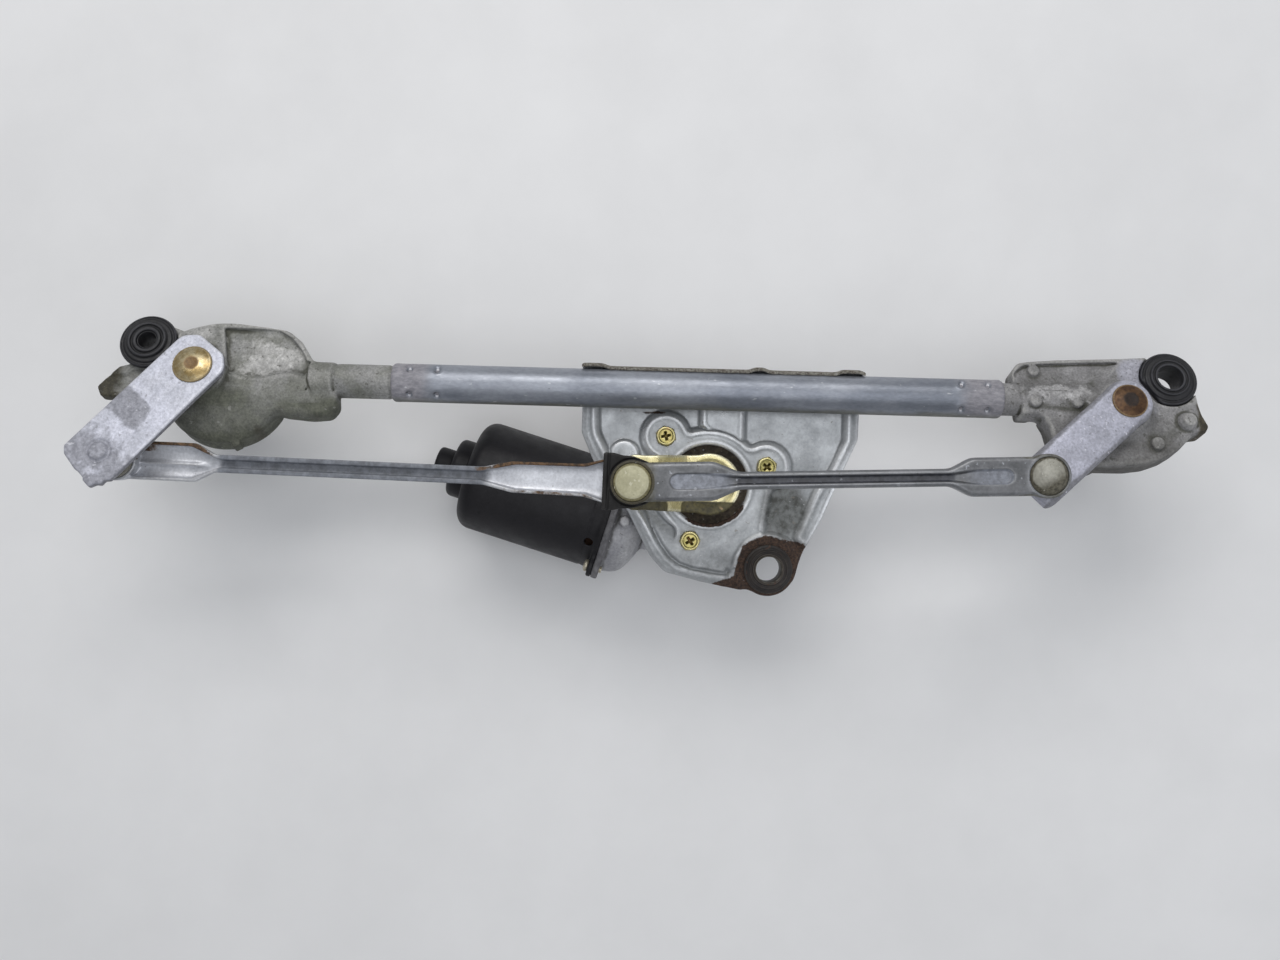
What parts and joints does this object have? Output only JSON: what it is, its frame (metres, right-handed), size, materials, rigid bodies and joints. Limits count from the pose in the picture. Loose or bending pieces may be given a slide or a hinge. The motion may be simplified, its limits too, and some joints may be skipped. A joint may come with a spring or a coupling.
{
  "type": "wiper linkage",
  "caption": "Wiper linkage: tube frame with leaning pivot housings, stamped motor plate, geared motor, joggled crank, push rods with ball joints and levers on splined spindles.",
  "frame": {"origin": "centre of the bounding box at its lowest level, where the spindle tips and the motor rest", "axes": "+X along the frame tube to the right pivot, +Z square to the motor plate on the linkage side"},
  "size_m": [0.6326, 0.1536, 0.1346],
  "materials": {
    "galvanised_steel": "dull galvanised, slightly blue",
    "cast_aluminium": "oxidised die casting",
    "housing_aluminium": "die cast",
    "plate_steel": "zinc plated, rusty at the lower ear",
    "black_rubber": "matt",
    "bright_steel": "turned",
    "sintered_bronze": "sintered",
    "yellow_zinc": "yellow passivated zinc",
    "black_paint": "matt",
    "ferrite": "matt",
    "phenolic": "matt",
    "carbon": "matt",
    "black_plastic": "moulded",
    "white_plastic": "moulded",
    "cream_plastic": "moulded, yellowed",
    "core_steel": "laminated",
    "copper": "enamelled",
    "zinc_steel": "worn zinc",
    "link_steel": "zinc plated pressed steel",
    "brass_head": "yellow passivated zinc",
    "bronze_head": "tarnished brown"
  },
  "bodies": {
    "frame": {"frame_tube": "galvanised_steel", "left_pivot_housing": "cast_aluminium", "right_pivot_housing": "cast_aluminium", "motor_plate": "plate_steel", "left_mount_grommet": "black_rubber", "left_mount_collar": "bright_steel", "right_mount_grommet": "black_rubber", "lower_mount_grommet": "black_rubber", "lower_mount_sleeve": "bright_steel", "left_spindle_bushes": "sintered_bronze", "right_spindle_bushes": "sintered_bronze", "left_spindle_seal": "black_rubber", "right_spindle_seal": "black_rubber", "motor_screws": "yellow_zinc", "gear_housing": "housing_aluminium", "gear_cover": "housing_aluminium", "gear_cover_gasket": "black_rubber", "gear_cover_screws": "yellow_zinc", "output_shaft_bush": "sintered_bronze", "motor_yoke": "black_paint", "yoke_screws": "yellow_zinc", "field_magnets": "ferrite", "brush_plate": "phenolic", "brushes": "carbon", "rear_bearing": "sintered_bronze", "front_bearing": "sintered_bronze", "connector_housing": "black_plastic", "connector_terminals": "bright_steel"},
    "crank": {"output_shaft": "bright_steel", "worm_wheel": "white_plastic", "crank_arm": "yellow_zinc", "crank_nut": "yellow_zinc", "crank_ball_stud": "bright_steel"},
    "armature": {"armature_shaft": "bright_steel", "rotor_core": "core_steel", "rotor_windings": "copper", "commutator": "copper"},
    "left_link": {"left_link_rod": "link_steel", "left_link_crank_socket": "black_plastic", "left_link_lever_socket": "white_plastic", "left_lever_ball_stud": "bright_steel"},
    "right_link": {"right_link_rod": "link_steel", "right_link_crank_socket": "cream_plastic", "right_link_lever_socket": "cream_plastic", "right_lever_ball_stud": "bright_steel"},
    "left_lever": {"left_lever": "zinc_steel", "left_spindle": "brass_head", "left_spindle_washer": "bright_steel", "left_spindle_circlip": "bright_steel"},
    "right_lever": {"right_lever": "zinc_steel", "right_spindle": "bronze_head", "right_spindle_washer": "bright_steel", "right_spindle_circlip": "bright_steel"}
  },
  "joints": [
    {"name": "crank_turn", "type": "hinge", "parent": "frame", "child": "crank", "pos_m": [0.03726, -0.01232, 0.0805], "axis": [0, 0, 1], "range_deg": [0, 180]},
    {"name": "armature_spin", "type": "hinge", "parent": "frame", "child": "armature", "pos_m": [0.02675, -0.04801, 0.034], "axis": [0.9593, -0.2823, 0], "range_deg": [-8640, 0]},
    {"name": "left_link_swing", "type": "hinge", "parent": "crank", "child": "left_link", "pos_m": [-0.00674, -0.01232, 0.1055], "axis": [0.0046, -0.0001, 1], "range_deg": [-181.46, 0]},
    {"name": "right_link_swing", "type": "hinge", "parent": "crank", "child": "right_link", "pos_m": [-0.00674, -0.01232, 0.1215], "axis": [0.0114, 0.0768, 0.997], "range_deg": [-183.48, 0]},
    {"name": "left_lever_turn", "type": "hinge", "parent": "frame", "child": "left_lever", "pos_m": [-0.25474, 0.04024, 0.08084], "axis": [0, 0.342, 0.9397], "range_deg": [0, 86.28]},
    {"name": "right_lever_turn", "type": "hinge", "parent": "frame", "child": "right_lever", "pos_m": [0.26896, 0.03413, 0.08307], "axis": [0, 0.342, 0.9397], "range_deg": [0, 74.56]}
  ],
  "couplings": [
    {"joint": "armature_spin", "follows": "crank_turn", "ratio": -48},
    {"joint": "left_link_swing", "follows": "crank_turn", "ratio": -1.0081},
    {"joint": "right_link_swing", "follows": "crank_turn", "ratio": -1.0193},
    {"joint": "left_lever_turn", "follows": "crank_turn", "ratio": 0.47927},
    {"joint": "right_lever_turn", "follows": "crank_turn", "ratio": 0.41417}
  ]
}
